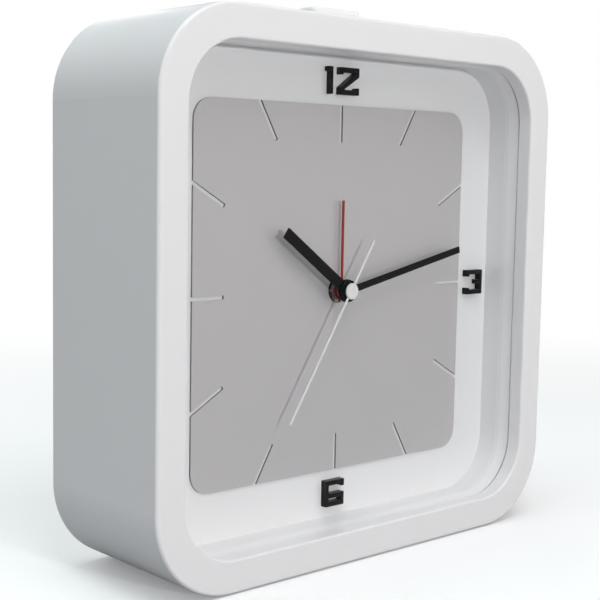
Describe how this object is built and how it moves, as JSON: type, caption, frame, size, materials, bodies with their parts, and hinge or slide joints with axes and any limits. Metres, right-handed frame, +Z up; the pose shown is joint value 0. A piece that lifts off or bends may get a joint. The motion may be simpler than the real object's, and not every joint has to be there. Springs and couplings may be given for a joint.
{
  "type": "square alarm clock",
  "caption": "Square white quartz alarm clock with a deep recessed dial, cut-through metal hour slots, analogue hands, a red alarm hand and a top snooze button.",
  "frame": {"origin": "middle of the base under the whole clock, halfway through its depth", "axes": "+Z up, +X to the right seen from the front, the dial faces -Y"},
  "size_m": [0.2, 0.064, 0.206],
  "materials": {
    "case_white": "satin moulded, warm white",
    "lens_clear": "clear polished window",
    "dial_white": "satin moulded white",
    "plate_metal": "fine satin, warm grey",
    "numeral_black": "semi-gloss black",
    "hand_black": "semi-matt black paint",
    "hand_red": "dark red paint",
    "hand_white": "white paint",
    "cover_white": "fine spark texture, white",
    "screw_steel": "zinc plated",
    "movement_black": "matt black moulded",
    "nut_nickel": "nickel plated, turned",
    "gear_nylon": "natural acetal",
    "arbor_brass": "turned and hobbed",
    "rotor_ferrite": "sintered magnet, dark",
    "core_steel": "stamped soft iron",
    "bobbin_plastic": "moulded",
    "winding_copper": "enamelled copper wire",
    "board_green": "solder mask",
    "chip_black": "moulded epoxy",
    "crystal_can": "drawn metal can",
    "contact_nickel": "nickel plated",
    "knob_black": "moulded, fine texture",
    "battery_wrap": "printed sleeve, plain dark blue",
    "buzzer_black": "moulded",
    "wire_sleeve": "PVC insulation"
  },
  "bodies": {
    "case": {"case_shell": "case_white", "lens": "lens_clear", "dial_tray": "dial_white", "dial_plate": "plate_metal", "numeral_12": "numeral_black", "numeral_3": "numeral_black", "numeral_6": "numeral_black", "numeral_9": "numeral_black", "rear_cover": "cover_white", "tray_screws": "screw_steel", "rear_cover_screws": "screw_steel", "snooze_board_screws": "screw_steel", "movement_front_case": "movement_black", "movement_rear_case": "movement_black", "mounting_nut": "nut_nickel", "stator": "core_steel", "coil_core": "core_steel", "coil_bobbin": "bobbin_plastic", "coil_winding": "winding_copper", "circuit_board": "board_green", "snooze_board": "board_green", "control_chip": "chip_black", "snooze_switch": "chip_black", "quartz_crystal": "crystal_can", "alarm_switch_contact": "contact_nickel", "alarm_contact_spring": "contact_nickel", "battery_plus_contact": "contact_nickel", "battery_minus_contact": "contact_nickel", "snooze_spring": "contact_nickel", "battery": "battery_wrap", "buzzer": "buzzer_black", "snooze_wires": "wire_sleeve", "buzzer_wires": "wire_sleeve"},
    "seconds": {"second_hand": "hand_white", "second_hand_cap": "hand_white", "second_wheel": "arbor_brass"},
    "minutes": {"minute_hand": "hand_black", "cannon_pinion": "arbor_brass"},
    "hours": {"hour_hand": "hand_black", "hour_hand_collet": "nut_nickel", "hour_wheel": "gear_nylon"},
    "alarm": {"alarm_hand": "hand_red", "alarm_wheel": "gear_nylon"},
    "centre_wheel": {"centre_wheel": "gear_nylon"},
    "third_wheel": {"third_wheel": "gear_nylon"},
    "intermediate_wheel": {"intermediate_wheel": "gear_nylon"},
    "rotor": {"rotor": "rotor_ferrite"},
    "motion_wheel": {"motion_wheel": "gear_nylon"},
    "time_knob": {"time_set_knob": "knob_black", "time_set_stem": "gear_nylon"},
    "alarm_knob": {"alarm_set_knob": "knob_black", "alarm_set_stem": "gear_nylon"},
    "snooze_button": {"snooze_button": "case_white"},
    "alarm_switch": {"alarm_switch_slider": "knob_black"}
  },
  "joints": [
    {"name": "second_hand_turn", "type": "hinge", "parent": "case", "child": "seconds", "pos_m": [0, 0, 0.1], "axis": [0, 1, 0], "continuous": true},
    {"name": "minute_hand_turn", "type": "hinge", "parent": "case", "child": "minutes", "pos_m": [0, 0, 0.1], "axis": [0, 1, 0], "continuous": true},
    {"name": "hour_hand_turn", "type": "hinge", "parent": "case", "child": "hours", "pos_m": [0, 0, 0.1], "axis": [0, 1, 0], "continuous": true},
    {"name": "alarm_hand_turn", "type": "hinge", "parent": "case", "child": "alarm", "pos_m": [0, 0, 0.1], "axis": [0, 1, 0], "continuous": true},
    {"name": "centre_wheel_turn", "type": "hinge", "parent": "case", "child": "centre_wheel", "pos_m": [0, 0, 0.1], "axis": [0, 1, 0], "continuous": true},
    {"name": "third_wheel_turn", "type": "hinge", "parent": "case", "child": "third_wheel", "pos_m": [0.00521, 0, 0.10437], "axis": [0, 1, 0], "continuous": true},
    {"name": "intermediate_wheel_turn", "type": "hinge", "parent": "case", "child": "intermediate_wheel", "pos_m": [-0.00444, 0, 0.10529], "axis": [0, 1, 0], "continuous": true},
    {"name": "rotor_turn", "type": "hinge", "parent": "case", "child": "rotor", "pos_m": [-0.00725, 0, 0.11131], "axis": [0, 1, 0], "continuous": true},
    {"name": "motion_wheel_turn", "type": "hinge", "parent": "case", "child": "motion_wheel", "pos_m": [0.00658, 0, 0.09761], "axis": [0, 1, 0], "continuous": true},
    {"name": "time_knob_turn", "type": "hinge", "parent": "case", "child": "time_knob", "pos_m": [0.01353, 0, 0.0968], "axis": [0, 1, 0], "continuous": true},
    {"name": "alarm_knob_turn", "type": "hinge", "parent": "case", "child": "alarm_knob", "pos_m": [-0.00929, 0, 0.09802], "axis": [0, 1, 0], "continuous": true},
    {"name": "snooze_button_press", "type": "slide", "parent": "case", "child": "snooze_button", "axis": [0, 0, -1], "range_m": [0, 0.0015], "stiffness_N_per_m": 600, "springref_m": -0.0005, "deforming": ["snooze_spring"]},
    {"name": "alarm_switch_slide", "type": "slide", "parent": "case", "child": "alarm_switch", "axis": [0, 0, 1], "range_m": [0, 0.004]}
  ],
  "couplings": [
    {"joint": "third_wheel_turn", "follows": "second_hand_turn", "ratio": -0.13333},
    {"joint": "centre_wheel_turn", "follows": "second_hand_turn", "ratio": 0.016667},
    {"joint": "intermediate_wheel_turn", "follows": "second_hand_turn", "ratio": -5},
    {"joint": "rotor_turn", "follows": "second_hand_turn", "ratio": 30},
    {"joint": "motion_wheel_turn", "follows": "minute_hand_turn", "ratio": -0.33333},
    {"joint": "hour_hand_turn", "follows": "minute_hand_turn", "ratio": 0.083333},
    {"joint": "time_knob_turn", "follows": "minute_hand_turn", "ratio": 1},
    {"joint": "alarm_knob_turn", "follows": "alarm_hand_turn", "ratio": -1.5}
  ]
}
